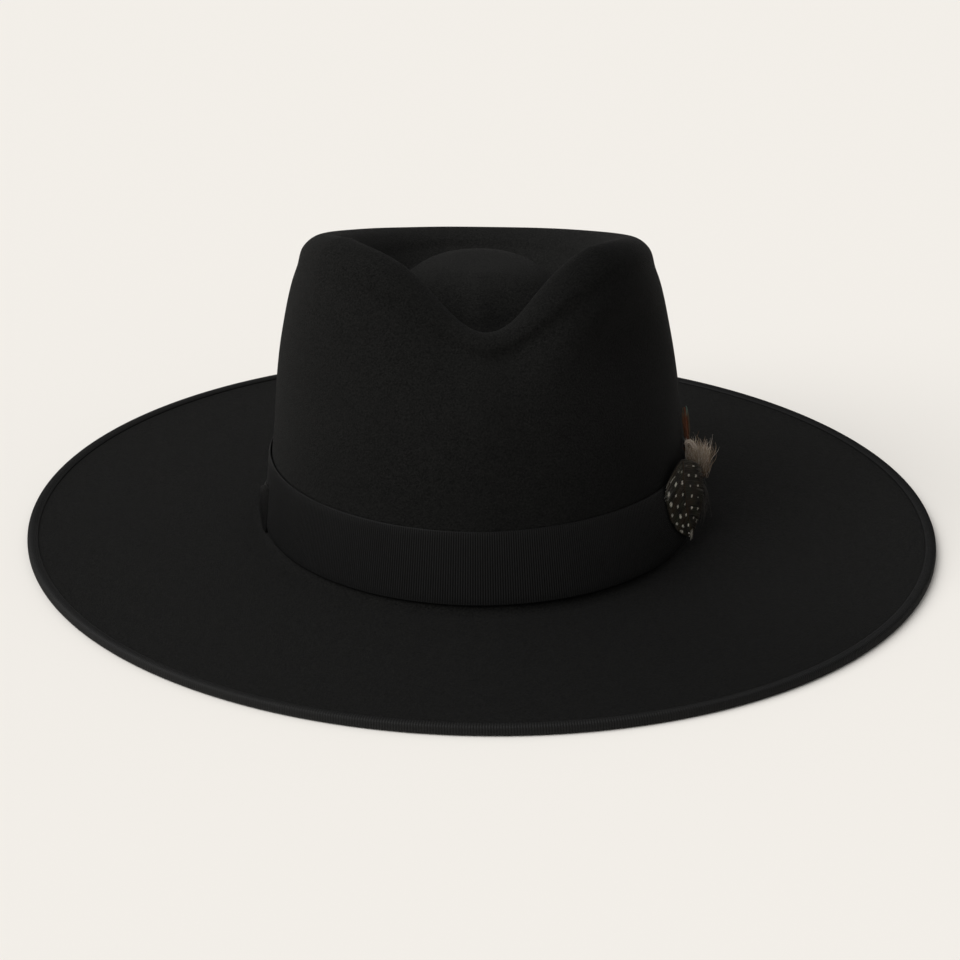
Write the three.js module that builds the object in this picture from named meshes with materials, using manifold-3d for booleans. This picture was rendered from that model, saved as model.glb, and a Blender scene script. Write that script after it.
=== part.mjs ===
// A wide brim hat of black fur felt: a teardrop crown with a V in its front, a flat bound brim,
// a grosgrain hat band with a side bow, and a small bunch of feathers in the band.
// Millimetres, +Z up, the hat's front towards -Y, the origin under the crown on the ground.
import * as THREE from 'three';
import { LoftGeometry } from 'three/addons/geometries/LoftGeometry.js';
import { mergeVertices } from 'three/addons/utils/BufferGeometryUtils.js';
import Module from 'manifold-3d';

// Felt
const feltThickness = 1.8;
const footHalfWidth = 86.6; // crown at the brim, side to side
const footHalfLength = 98.5; // crown at the brim, front and back
const footRound = 3;
const footSide = -0.6; // how far the crown's foot stands towards the wearer's right on the brim
const brimSideReach = 97.9; // crown foot to the brim's bound edge, at the sides
const brimEndReach = 106; // the same, at front and back
const brimTurn = 6; // degrees that the brim's oval is turned on the crown, towards the wearer's left

// Crown top
const crownHeight = 131.6; // ground to the height that the ridge would have without its notch and fall
const crownSide = -1.3; // how far the crown's top stands towards the wearer's right
const crownTurn = -4.5; // degrees that the crown's oval is turned at the ridge
const ridgeHalfWidth = 60;
const ridgeFrontReach = 68;
const ridgeBackReach = 79;
const ridgeRound = 12;
const lipRound = -0.35; // how much larger its round is in the notch, as a share
const notchDepth = 30.2; // how far the ridge dips at the front
const notchSide = 3.4; // degrees that the notch's lowest place lies from the front, towards the left
const notchSpread = 33.4; // degrees
const backDrop = 27.8; // how far the ridge falls to the back
const peakPlace = 28.4; // how far in front of the centre the ridge starts to fall
const pinchDepth = 0.227; // share of the ridge's reach that the front pinches take
const pinchPlace = 23; // degrees from the front
const pinchSpread = 36; // degrees
const troughHeight = 97;
const troughDip = 6; // how much lower the trough is behind the notch
const troughShare = 0.673; // share of the ridge's reach
const moundHeight = 111.6;
const moundSide = 0.4; // how far the mound stands towards the wearer's left
const moundBack = 4; // how far the mound stands towards the back
const wallSlant = 0.67; // share of the wall's lean that is even from the foot up
const wallLean = 7.2; // power of the height by which the rest leans in

// Ribbons
const clearance = 0.3; // between pieces that touch
const bindingThickness = 1;
const bindingWidth = 4.5;
const bindingRound = 0.6;
const bandThickness = 1;
const bandHeight = 27.6;
const bandRise = 1.4; // how much higher its upper edge is at the sides than at the front
const bandFoot = 6; // ground to the band's lower edge

// Side bow, on the wearer's right
const bowCentre = 20; // behind the crown's middle
const bowFoot = 5;
const bowHeight = 19.5;
const knotWidth = 11;
const knotHeight = 9.5;
const knotProud = 3;
const loopLength = 30;
const loopProud = 2.6;
const loopEdgeProud = 0.9;
const knotOverlap = 0.8; // how far the knot passes the loops below

// Feathers, on the wearer's left. Places are along Y from the crown's middle.
const guineaCentre = -37;
const guineaTipPlace = -35.5;
const guineaHalfWidth = 13.5;
const guineaFoot = 7.5;
const guineaHeight = 31;
const guineaThickness = 1;
const guineaLift = 5.6; // how far its rear edge stands off the band
const rustCentre = -15.5;
const rustWidth = 4.6;
const rustFoot = 31;
const rustHeight = 26.5;
const rustThickness = 1.2;
const rustLift = 2.6; // how far its rear edge stands off the band
const tuftCentre = -19;
const tuftFoot = 28;
const tuftStand = 2; // how far its root stands off the band
const tuftLength = 18;
const tuftRadius = 2.8;
const tuftLocks = 9;
const plumeCentre = -20;
const plumeTop = 22;
const plumeLength = 14;
const plumeRadius = 2;
const plumeLocks = 5;

// Facets
const columns = 60;
const quarterTurn = Math.PI / 2;
const degree = Math.PI / 180;

const brimHalfWidth = footHalfWidth + brimSideReach;
const brimHalfLength = footHalfLength + brimEndReach;
const brimUnderside = bindingThickness + clearance;
const brimTop = brimUnderside + feltThickness;
const bindingTop = brimTop + clearance + bindingThickness;

// Reach from the crown's axis to an oval, in the direction of angle
function ovalReach(angle, halfWidth, frontReach, backReach) {
  const halfLength = Math.sin(angle) < 0 ? frontReach : backReach;
  return 1 / Math.hypot(Math.cos(angle) / halfWidth, Math.sin(angle) / halfLength);
}

// Degrees from the hat's front, or from a place a few degrees beside it, from 0 to 180
function fromFront(angle, side = 0) {
  const turned = angle + quarterTurn - side * degree;
  return Math.abs(Math.atan2(Math.sin(turned), Math.cos(turned))) / degree;
}

function bump(distance, spread) {
  return Math.exp(-((distance / spread) ** 2));
}

// 1 in the middle of the notch, 0 away from it
function notchShare(angle) {
  return bump(fromFront(angle, notchSide), notchSpread);
}

function ridgeReach(angle) {
  const pinch = pinchDepth * bump(fromFront(angle) - pinchPlace, pinchSpread);
  const turned = angle - crownTurn * degree;
  return ovalReach(turned, ridgeHalfWidth, ridgeFrontReach, ridgeBackReach) * (1 - pinch);
}

function ridgeHeight(angle) {
  const place = ridgeReach(angle) * Math.sin(angle - crownTurn * degree) + peakPlace;
  const fall = Math.max(0, place / (ridgeBackReach + peakPlace));
  return crownHeight - notchDepth * notchShare(angle) - backDrop * fall;
}

function rimRound(angle) {
  return ridgeRound * (1 + lipRound * notchShare(angle));
}

function footReach(angle) {
  return ovalReach(angle, footHalfWidth, footHalfLength, footHalfLength);
}

function wallTopHeight(angle) {
  return ridgeHeight(angle) - 1.1 * rimRound(angle);
}

// The wall leans in evenly from the foot, and more where it turns into the ridge's shoulder
function wallReach(angle, height) {
  const rise = (height - brimTop) / (wallTopHeight(angle) - brimTop);
  const top = ridgeReach(angle) + rimRound(angle);
  return footReach(angle) + (top - footReach(angle)) * (wallSlant * rise + (1 - wallSlant) * rise ** wallLean);
}

// How far the crown stands sideways at a height
function crownLean(height) {
  return footSide + ((crownSide - footSide) * (height - brimTop)) / (crownHeight - brimTop);
}

function brimPoint(angle, inset) {
  const step = 0.01;
  const at = (a) => {
    const reach = ovalReach(a - brimTurn * degree, brimHalfWidth, brimHalfLength, brimHalfLength);
    return new THREE.Vector2(Math.cos(a) * reach, Math.sin(a) * reach);
  };
  const along = at(angle + step).sub(at(angle - step)).normalize();
  const inward = new THREE.Vector2(-along.y, along.x);
  return at(angle).addScaledVector(inward, inset);
}

// One radial section of the crown, from its middle to the foot, as points (reach, height) with how much of
// the mound's own place each takes.
// Mound rows: share of the trough's reach, share of the mound's rise.
const moundRows = [
  { reach: 0.16, rise: 1 },
  { reach: 0.4, rise: 0.95 },
  { reach: 0.6, rise: 0.77 },
  { reach: 0.78, rise: 0.42 },
  { reach: 0.9, rise: 0.12 },
];
// Rim rows: reach from the ridge in units of its round, share of the ridge's rise from the trough
const rimRows = [
  { reach: -1.25, rise: 0.36 },
  { reach: -0.8, rise: 0.78 },
  { reach: -0.4, rise: 0.96 },
];
// Shoulder rows: reach and drop from the ridge in units of its round
const shoulderRows = [
  { reach: 0, drop: 0 },
  { reach: 0.42, drop: 0.1 },
  { reach: 0.78, drop: 0.42 },
];
const wallShares = [1, 0.95, 0.88, 0.75, 0.6, 0.45, 0.32, 0.2, 0.1];
const footRows = [
  { reach: 0, height: 1 },
  { reach: 0.3, height: 0.3 },
  { reach: 1, height: 0 },
];
const brimShares = [0.3, 0.65, 1];

function crownSection(angle) {
  const ridge = ridgeReach(angle);
  const top = ridgeHeight(angle);
  const round = rimRound(angle);
  const trough = ridge * troughShare;
  const floor = troughHeight - troughDip * notchShare(angle);
  const points = moundRows.map((row) => [
    trough * row.reach,
    floor + (moundHeight - floor) * row.rise,
    1 - row.reach ** 2,
  ]);
  points.push([trough, floor]);
  for (const row of rimRows) points.push([ridge + row.reach * round, floor + (top - floor) * row.rise]);
  for (const row of shoulderRows) points.push([ridge + row.reach * round, top - row.drop * round]);
  const wallTop = wallTopHeight(angle);
  for (const share of wallShares) {
    const height = brimTop + share * (wallTop - brimTop);
    points.push([wallReach(angle, height), height]);
  }
  const foot = wallReach(angle, brimTop + footRound);
  for (const row of footRows) points.push([foot + row.reach * footRound, brimTop + row.height * footRound]);
  return points;
}

// A ring of points, clockwise from above, so that rows from the top down face outwards
function ring(pointAt) {
  return Array.from({ length: columns }, (_, column) => pointAt((-2 * Math.PI * column) / columns));
}

function radialPoint(angle, reach, height) {
  return new THREE.Vector3(Math.cos(angle) * reach + crownLean(height), Math.sin(angle) * reach, height);
}

// The felt's upper and outer face, from the crown's middle to the brim's edge
function outerRings() {
  const rowCount = crownSection(0).length;
  const rings = [];
  for (let row = 0; row < rowCount; row += 1) {
    rings.push(
      ring((angle) => {
        const [reach, height, onMound = 0] = crownSection(angle)[row];
        const point = radialPoint(angle, reach, height);
        point.x += onMound * moundSide;
        point.y += onMound * moundBack;
        return point;
      }),
    );
  }
  const edgeInset = bindingThickness + clearance;
  for (const share of brimShares) {
    rings.push(
      ring((angle) => {
        const start = wallReach(angle, brimTop + footRound) + footRound;
        const edge = brimPoint(angle, edgeInset);
        const from = new THREE.Vector2(Math.cos(angle) * start + footSide, Math.sin(angle) * start);
        const place = from.lerp(edge, share);
        return new THREE.Vector3(place.x, place.y, brimTop);
      }),
    );
  }
  return rings;
}

// The same rings moved inwards, square to the surface
function offsetRings(rings, distance) {
  const up = new THREE.Vector3(0, 0, 1);
  return rings.map((points, row) =>
    points.map((point, column) => {
      const normal = up.clone();
      if (row > 0 && row < rings.length - 1) {
        const along = rings[row + 1][column].clone().sub(rings[row - 1][column]);
        const next = points[(column + 1) % columns];
        const last = points[(column + columns - 1) % columns];
        normal.crossVectors(next.clone().sub(last), along).normalize();
      }
      return point.clone().addScaledVector(normal, -distance);
    }),
  );
}

// One closed skin from rings in order, with a fan of faces over the first and the last ring
function closedSkin(rings) {
  const middle = (points) => {
    const sum = points.reduce((total, point) => total.add(point), new THREE.Vector3());
    return sum.divideScalar(points.length);
  };
  const vertices = [...rings.flat(), middle(rings[0]), middle(rings.at(-1))];
  const firstPole = rings.length * columns;
  const lastPole = firstPole + 1;
  const faces = [];
  for (let column = 0; column < columns; column += 1) {
    const next = (column + 1) % columns;
    const lastRow = (rings.length - 1) * columns;
    faces.push(firstPole, next, column);
    faces.push(lastPole, lastRow + column, lastRow + next);
    for (let row = 0; row < rings.length - 1; row += 1) {
      const near = row * columns;
      const far = near + columns;
      faces.push(near + column, near + next, far + column);
      faces.push(near + next, far + next, far + column);
    }
  }
  const geometry = new THREE.BufferGeometry().setFromPoints(vertices);
  geometry.setIndex(faces);
  geometry.computeVertexNormals();
  return geometry;
}

function feltBody() {
  const outer = outerRings();
  const inner = offsetRings(outer, feltThickness).reverse();
  return closedSkin([...outer, ...inner]);
}

// A closed band from rings in order round its section
function ringBand(rings) {
  return new LoftGeometry([...rings, rings[0]]);
}

// The folded ribbon over the brim's edge: inset from the edge and height above the ground
function brimBinding() {
  const section = [
    [bindingWidth, bindingTop],
    [bindingRound, bindingTop],
    [0, bindingTop - bindingRound],
    [0, bindingRound],
    [bindingRound, 0],
    [bindingWidth, 0],
    [bindingWidth, bindingThickness],
    [bindingThickness, bindingThickness],
    [bindingThickness, bindingTop - bindingThickness],
    [bindingWidth, bindingTop - bindingThickness],
  ];
  return ringBand(
    section.map(([inset, height]) =>
      ring((angle) => {
        const place = brimPoint(angle, inset);
        return new THREE.Vector3(place.x, place.y, height);
      }),
    ),
  );
}

function hatBand() {
  const shares = [1, 0.66, 0.33, 0];
  const at = (share, out) =>
    ring((angle) => {
      const height = bandFoot + share * (bandHeight + bandRise * Math.cos(angle) ** 2);
      return radialPoint(angle, wallReach(angle, height) + out, height);
    });
  const outside = shares.map((share) => at(share, clearance + bandThickness));
  const inside = shares.map((share) => at(share, clearance)).reverse();
  return ringBand([...outside, ...inside]);
}

// A point on the crown's side at a place along Y and a height, standing out from the felt.
// side is 1 for the wearer's left and -1 for the right.
function sidePoint(side, along, height, out) {
  let angle = Math.asin(along / footHalfLength);
  for (let pass = 0; pass < 4; pass += 1) angle = Math.asin(along / (wallReach(angle, height) + out));
  const reach = wallReach(angle, height) + out;
  return new THREE.Vector3(side * Math.cos(angle) * reach + crownLean(height), along, height);
}

// A plate that follows the crown's side. rows hold its front and back edges along Y at a height;
// inner and out (along, u, v) are how far its faces stand from the felt, u across and v up the plate.
function sidePlate(side, rows, inner, out, steps) {
  const sections = rows.map((row, index) => {
    const v = index / (rows.length - 1);
    const across = (u) => row.front + u * (row.back - row.front);
    const face = [];
    const rear = [];
    for (let step = 0; step <= steps; step += 1) {
      const u = step / steps;
      face.push(sidePoint(side, across(u), row.height, out(across(u), u, v)));
      rear.push(sidePoint(side, across(1 - u), row.height, inner(across(1 - u), 1 - u, v)));
    }
    const loop = [...face, ...rear];
    return side > 0 ? loop : loop.reverse();
  });
  return new LoftGeometry(sections, { capStart: true, capEnd: true });
}

const onBand = clearance * 2 + bandThickness;

// A pressed loop of the bow: its upper edge rises from the knot, and it is fullest away from the knot.
// Rows: height share, and the share of the loop's length at which the row starts.
const loopRows = [
  { height: 0, start: 0.06 },
  { height: 0.15, start: 0 },
  { height: 0.3, start: 0 },
  { height: 0.44, start: 0 },
  { height: 0.6, start: 0.26 },
  { height: 0.8, start: 0.58 },
  { height: 1, start: 0.88 },
];

function bowLoop(direction) {
  const near = bowCentre + direction * (knotWidth / 2 + clearance);
  const far = near + direction * loopLength;
  const rows = loopRows.map((row) => {
    const start = near + direction * row.start * loopLength;
    return { height: bowFoot + row.height * bowHeight, front: Math.min(start, far), back: Math.max(start, far) };
  });
  const puff = (along, u, v) => {
    const fromKnot = Math.abs(along - near) / loopLength;
    const swell = Math.sin(Math.PI * v) * Math.sin(Math.PI * (0.15 + 0.6 * fromKnot));
    return onBand + loopEdgeProud + (loopProud - loopEdgeProud) * swell;
  };
  return sidePlate(-1, rows, () => onBand, puff, 8);
}

function bowKnot() {
  const rowShares = [0, 0.12, 0.3, 0.5, 0.7, 0.88, 1];
  const rows = rowShares.map((share) => ({
    height: bowFoot - knotOverlap + share * (knotHeight + knotOverlap),
    front: bowCentre - knotWidth / 2,
    back: bowCentre + knotWidth / 2,
  }));
  const round = (along, u, v) => {
    const swell = Math.sin(Math.PI * (0.15 + 0.7 * v)) ** 0.6 * Math.sin(Math.PI * (0.15 + 0.7 * u)) ** 0.6;
    return onBand + knotProud * swell;
  };
  return sidePlate(-1, rows, () => onBand, round, 6);
}

// The spotted feather: an oval vane with its tip down, over the band.
// Rows: height share, half-width share, how far the row leans from the tip's place to the centre.
function guineaFeather() {
  const vane = [
    { height: 0, width: 0.1, lean: 0 },
    { height: 0.1, width: 0.42, lean: 0.4 },
    { height: 0.26, width: 0.76, lean: 0.75 },
    { height: 0.44, width: 0.94, lean: 1 },
    { height: 0.66, width: 1, lean: 1.1 },
    { height: 0.84, width: 0.9, lean: 1.15 },
    { height: 0.95, width: 0.64, lean: 1.3 },
    { height: 1, width: 0.3, lean: 1.5 },
  ];
  const rows = vane.map((row) => {
    const middle = guineaTipPlace + row.lean * (guineaCentre - guineaTipPlace);
    const half = row.width * guineaHalfWidth;
    return { height: guineaFoot + row.height * guineaHeight, front: middle - half, back: middle + half };
  });
  const frontEdge = guineaCentre - guineaHalfWidth;
  const back = (along) => onBand + guineaLift * ((along - frontEdge) / (2 * guineaHalfWidth)) ** 2;
  return sidePlate(1, rows, back, (along) => back(along) + guineaThickness, 8);
}

// The slender rust feather stands up against the crown above the band
function rustFeather() {
  const vane = [
    { height: 0, width: 0.25 },
    { height: 0.28, width: 0.4 },
    { height: 0.55, width: 1 },
    { height: 0.8, width: 0.85 },
    { height: 1, width: 0.15 },
  ];
  const rows = vane.map((row) => ({
    height: rustFoot + row.height * rustHeight,
    front: rustCentre - (row.width * rustWidth) / 2,
    back: rustCentre + (row.width * rustWidth) / 2,
  }));
  const frontEdge = rustCentre - rustWidth / 2;
  const back = (along, u, v) => onBand + rustLift * ((along - frontEdge) / rustWidth) * Math.sin((Math.PI / 2) * v);
  const face = (along, u, v) => back(along, u, v) + rustThickness * (0.5 + 0.5 * Math.sin(Math.PI * u));
  return sidePlate(1, rows, back, face, 4);
}

// A tapered lock of down from one point to another
function lock(from, to, radius, sides) {
  const aim = to.clone().sub(from).normalize();
  const right = new THREE.Vector3(0, 1, 0).cross(aim).normalize();
  const other = aim.clone().cross(right);
  const shares = [
    { along: 0, width: 0.55 },
    { along: 0.35, width: 1 },
    { along: 0.75, width: 0.6 },
    { along: 1, width: 0.08 },
  ];
  const sections = shares.map((share) => {
    const centre = from.clone().lerp(to, share.along);
    return Array.from({ length: sides }, (_, side) => {
      const turn = (2 * Math.PI * side) / sides;
      return centre
        .clone()
        .addScaledVector(right, Math.cos(turn) * radius * share.width)
        .addScaledVector(other, Math.sin(turn) * radius * share.width);
    });
  });
  return new LoftGeometry(sections, { capStart: true, capEnd: true });
}

const wasm = await Module();
wasm.setup();

function toSolid(geometry) {
  const plain = new THREE.BufferGeometry();
  plain.setAttribute('position', geometry.attributes.position);
  plain.setIndex(geometry.index);
  const merged = mergeVertices(plain, 1e-4);
  return new wasm.Manifold(
    new wasm.Mesh({
      numProp: 3,
      vertProperties: Float32Array.from(merged.attributes.position.array),
      triVerts: Uint32Array.from(merged.index.array),
    }),
  );
}

function fuse(geometries) {
  const joined = geometries.map(toSolid).reduce((sum, solid) => sum.add(solid));
  const mesh = joined.getMesh();
  const geometry = new THREE.BufferGeometry();
  geometry.setAttribute('position', new THREE.BufferAttribute(mesh.vertProperties, 3));
  geometry.setIndex(new THREE.BufferAttribute(mesh.triVerts, 1));
  return geometry;
}

// Down splayed upwards from one root, and a softer plume that hangs beside the spotted feather
function splay(root, locks, length, radius, spread, outwards, upwards) {
  const pieces = [];
  for (let index = 0; index < locks; index += 1) {
    const turn = ((index / (locks - 1)) * 2 - 1) * spread;
    const wave = index % 2 ? 1 : 0.82;
    const lean = outwards * (0.45 + 0.55 * Math.cos(index * 2.4) ** 2);
    const tip = root.clone();
    tip.x += length * wave * lean;
    tip.y += length * wave * Math.sin(turn);
    tip.z += length * wave * upwards * Math.cos(turn);
    pieces.push(lock(root, tip, radius, 6));
  }
  return fuse(pieces);
}

function downTuft() {
  const root = sidePoint(1, tuftCentre, tuftFoot, onBand + tuftStand + tuftRadius);
  return splay(root, tuftLocks, tuftLength, tuftRadius, 0.66, 0.42, 1);
}

function greyPlume() {
  const root = sidePoint(1, plumeCentre, plumeTop, onBand + plumeRadius);
  return splay(root, plumeLocks, plumeLength, plumeRadius, 0.4, 0.2, -1);
}

const felt = new THREE.MeshStandardMaterial({ color: 0x141415, roughness: 0.95, metalness: 0 });
const grosgrain = new THREE.MeshStandardMaterial({ color: 0x17181a, roughness: 0.6, metalness: 0 });
const guinea = new THREE.MeshStandardMaterial({ color: 0x2b2620, roughness: 0.7, metalness: 0 });
const rust = new THREE.MeshStandardMaterial({ color: 0x9a4a1e, roughness: 0.7, metalness: 0 });
const down = new THREE.MeshStandardMaterial({ color: 0x9b8878, roughness: 1, metalness: 0 });
const plume = new THREE.MeshStandardMaterial({ color: 0x5c564f, roughness: 1, metalness: 0 });

function piece(name, geometry, material) {
  const mesh = new THREE.Mesh(geometry, material);
  mesh.name = name;
  return mesh;
}

const hat = new THREE.Group();
hat.add(
  piece('felt_body', feltBody(), felt),
  piece('brim_binding', brimBinding(), grosgrain),
  piece('hat_band', hatBand(), grosgrain),
  piece('bow_loop_front', bowLoop(-1), grosgrain),
  piece('bow_loop_rear', bowLoop(1), grosgrain),
  piece('bow_knot', bowKnot(), grosgrain),
  piece('guinea_feather', guineaFeather(), guinea),
  piece('rust_feather', rustFeather(), rust),
  piece('down_tuft', downTuft(), down),
  piece('grey_plume', greyPlume(), plume),
);

export default hat;
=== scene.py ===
"""Dresses the wide brim hat: fine felt, ribbed grosgrain, the side bow and the feathers."""
import math
import bpy
import numpy as np
from mathutils import Matrix, Vector

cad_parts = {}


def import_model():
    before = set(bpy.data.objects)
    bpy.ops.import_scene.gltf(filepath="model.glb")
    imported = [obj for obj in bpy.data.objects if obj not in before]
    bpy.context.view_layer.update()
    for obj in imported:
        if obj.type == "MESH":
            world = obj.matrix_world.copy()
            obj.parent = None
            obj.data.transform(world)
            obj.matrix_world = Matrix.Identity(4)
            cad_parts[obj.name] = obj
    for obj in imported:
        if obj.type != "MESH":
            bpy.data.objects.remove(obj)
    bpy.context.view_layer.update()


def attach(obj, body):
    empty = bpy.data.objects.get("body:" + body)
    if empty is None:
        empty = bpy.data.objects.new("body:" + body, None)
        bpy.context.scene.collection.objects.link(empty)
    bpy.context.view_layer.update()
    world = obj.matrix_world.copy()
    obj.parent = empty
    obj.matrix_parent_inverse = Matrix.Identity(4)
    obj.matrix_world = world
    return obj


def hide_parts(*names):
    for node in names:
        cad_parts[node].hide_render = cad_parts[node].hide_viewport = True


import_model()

# Sizes in millimetres and degrees, as in the model
MM = 0.001
FELT = 1.8
FOOT_HALF_WIDTH = 86.6
FOOT_HALF_LENGTH = 98.5
FOOT_ROUND = 3
FOOT_SIDE = -0.6
BRIM_HALF_WIDTH = FOOT_HALF_WIDTH + 97.9
BRIM_HALF_LENGTH = FOOT_HALF_LENGTH + 106
BRIM_TURN = math.radians(6)
CROWN_HEIGHT = 131.6
CROWN_SIDE = -1.3
CROWN_TURN = math.radians(-4.5)
RIDGE_HALF_WIDTH = 60
RIDGE_FRONT = 68
RIDGE_BACK = 79
RIDGE_ROUND = 12
LIP_ROUND = -0.35
NOTCH_DEPTH = 30.2
NOTCH_SIDE = 3.4
NOTCH_SPREAD = 33.4
BACK_DROP = 27.8
PEAK_PLACE = 28.4
PINCH_DEPTH = 0.227
PINCH_PLACE = 23
PINCH_SPREAD = 36
PINCH_SOFT = 3
TROUGH_HEIGHT = 97
TROUGH_DIP = 6
TROUGH_SHARE = 0.673
MOUND_HEIGHT = 111.6
MOUND_SIDE = 0.4
MOUND_BACK = 4
WALL_SLANT = 0.67
WALL_LEAN = 7.2
WALL_TOP_DROP = 1.1
GAP = 0.3
BINDING = 1.0
BINDING_WIDTH = 4.5
BAND = 1.0
BAND_FOOT = 6
BAND_HEIGHT = 27.6
BAND_RISE = 1.4
BRIM_TOP = BINDING + GAP + FELT
BINDING_TOP = BRIM_TOP + GAP + BINDING
ON_BAND = 2 * GAP + BAND


# Shape of the crown

def oval_reach(angle, half_width, front, back):
    half_length = np.where(np.sin(angle) < 0, front, back)
    return 1 / np.hypot(np.cos(angle) / half_width, np.sin(angle) / half_length)


def from_front(angle, side=0.0):
    """Degrees from the hat's front, or from a place a few degrees beside it, 0 to 180."""
    turned = np.asarray(angle) + math.pi / 2 - math.radians(side)
    return np.abs(np.degrees(np.arctan2(np.sin(turned), np.cos(turned))))


def towards_left(angle):
    """Degrees from the hat's front towards the wearer's left."""
    return np.degrees(angle) + 90


def bump_at(distance, spread):
    return np.exp(-((distance / spread) ** 2))


def patches_at(aside, patches):
    """Sum of soft patches, each with its place in degrees towards the left, its spread and its height."""
    return sum(share * bump_at(aside - place, spread) for place, spread, share in patches)


def ramp(value, start, length):
    """0 up to start, and 1 from start + length on."""
    return np.clip((value - start) / length, 0, 1)


def smooth_step(share):
    return share ** 2 * (3 - 2 * share)


def notch_share(angle):
    return bump_at(from_front(angle, NOTCH_SIDE), NOTCH_SPREAD)


def ridge_reach(angle):
    aside = np.sqrt(from_front(angle) ** 2 + PINCH_SOFT ** 2)
    pinch = PINCH_DEPTH * bump_at(aside - PINCH_PLACE, PINCH_SPREAD)
    return oval_reach(angle - CROWN_TURN, RIDGE_HALF_WIDTH, RIDGE_FRONT, RIDGE_BACK) * (1 - pinch)


def ridge_height(angle):
    place = ridge_reach(angle) * np.sin(angle - CROWN_TURN) + PEAK_PLACE
    fall = np.maximum(0, place / (RIDGE_BACK + PEAK_PLACE))
    return CROWN_HEIGHT - NOTCH_DEPTH * notch_share(angle) - BACK_DROP * fall


def rim_round(angle):
    return RIDGE_ROUND * (1 + LIP_ROUND * notch_share(angle))


def foot_reach(angle):
    return oval_reach(angle, FOOT_HALF_WIDTH, FOOT_HALF_LENGTH, FOOT_HALF_LENGTH)


def wall_top(angle):
    return ridge_height(angle) - WALL_TOP_DROP * rim_round(angle)


def wall_reach(angle, height):
    rise = np.maximum(0, (height - BRIM_TOP) / (wall_top(angle) - BRIM_TOP))
    top = ridge_reach(angle) + rim_round(angle)
    lean = WALL_SLANT * rise + (1 - WALL_SLANT) * rise ** WALL_LEAN
    return foot_reach(angle) + (top - foot_reach(angle)) * lean


def crown_lean(height):
    """How far the crown stands sideways at a height."""
    return FOOT_SIDE + (CROWN_SIDE - FOOT_SIDE) * (height - BRIM_TOP) / (CROWN_HEIGHT - BRIM_TOP)


def brim_point(angle, inset):
    """Plan place of the brim's edge at an angle, moved inwards square to the edge."""
    def at(a):
        reach = oval_reach(a - BRIM_TURN, BRIM_HALF_WIDTH, BRIM_HALF_LENGTH, BRIM_HALF_LENGTH)
        return np.stack([np.cos(a) * reach, np.sin(a) * reach], -1)

    nearby = 0.01
    along = at(angle + nearby) - at(angle - nearby)
    along /= np.linalg.norm(along, axis=-1, keepdims=True)
    inward = np.stack([-along[..., 1], along[..., 0]], -1)
    return at(angle) + inward * np.asarray(inset)[..., None]


# Rows of one radial section, from the mound's middle outwards.
# MOUND: share of the trough's reach, and of the rise from the trough to the mound's top.
# RIM: rim rounds beyond the ridge, and share of the rise from the trough to the ridge.
# SHOULDER: rim rounds beyond the ridge, and rim rounds below it. WALL: share of the wall's height.
# FOOT: foot rounds outwards, and foot rounds up. BRIM: share of the way to the brim's edge.
MOUND = [(0, 1.0), (0.16, 0.995), (0.4, 0.95), (0.6, 0.77), (0.78, 0.42), (0.9, 0.12)]
RIM = [(-1.25, 0.36), (-0.8, 0.78), (-0.4, 0.96)]
SHOULDER = [(0, 0), (0.42, 0.1), (0.78, 0.42)]
WALL = [1, 0.95, 0.88, 0.75, 0.6, 0.45, 0.32, 0.2, 0.1]
FOOT = [(0, 1), (0.3, 0.3), (1, 0)]
BRIM = [0.06, 0.3, 0.65, 1]


def radial(angle, reach, height, on_mound=0.0):
    x = np.cos(angle) * reach + crown_lean(height) + on_mound * MOUND_SIDE
    y = np.sin(angle) * reach + on_mound * MOUND_BACK
    return np.stack([x, y, height * np.ones_like(angle)], -1)


def crown_rows(angle):
    ridge, top, rim = ridge_reach(angle), ridge_height(angle), rim_round(angle)
    trough = ridge * TROUGH_SHARE
    bottom = TROUGH_HEIGHT - TROUGH_DIP * notch_share(angle)
    rows = []
    for reach, rise in MOUND:
        height = bottom + (MOUND_HEIGHT - bottom) * rise
        rows.append(radial(angle, trough * reach, height, 1 - reach ** 2))
    rows.append(radial(angle, trough, bottom))
    for reach, rise in RIM:
        rows.append(radial(angle, ridge + reach * rim, bottom + (top - bottom) * rise))
    for reach, drop in SHOULDER:
        rows.append(radial(angle, ridge + reach * rim, top - drop * rim))
    for share in WALL:
        height = BRIM_TOP + share * (wall_top(angle) - BRIM_TOP)
        rows.append(radial(angle, wall_reach(angle, height), height))
    foot = wall_reach(angle, BRIM_TOP + FOOT_ROUND)
    for reach, height in FOOT:
        rows.append(radial(angle, foot + reach * FOOT_ROUND, BRIM_TOP + height * FOOT_ROUND))
    start = radial(angle, foot + FOOT_ROUND, BRIM_TOP)
    edge = np.concatenate([brim_point(angle, BINDING + GAP), np.full((len(angle), 1), BRIM_TOP)], -1)
    for share in BRIM:
        rows.append(start + (edge - start) * share)
    return np.array(rows)


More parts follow.
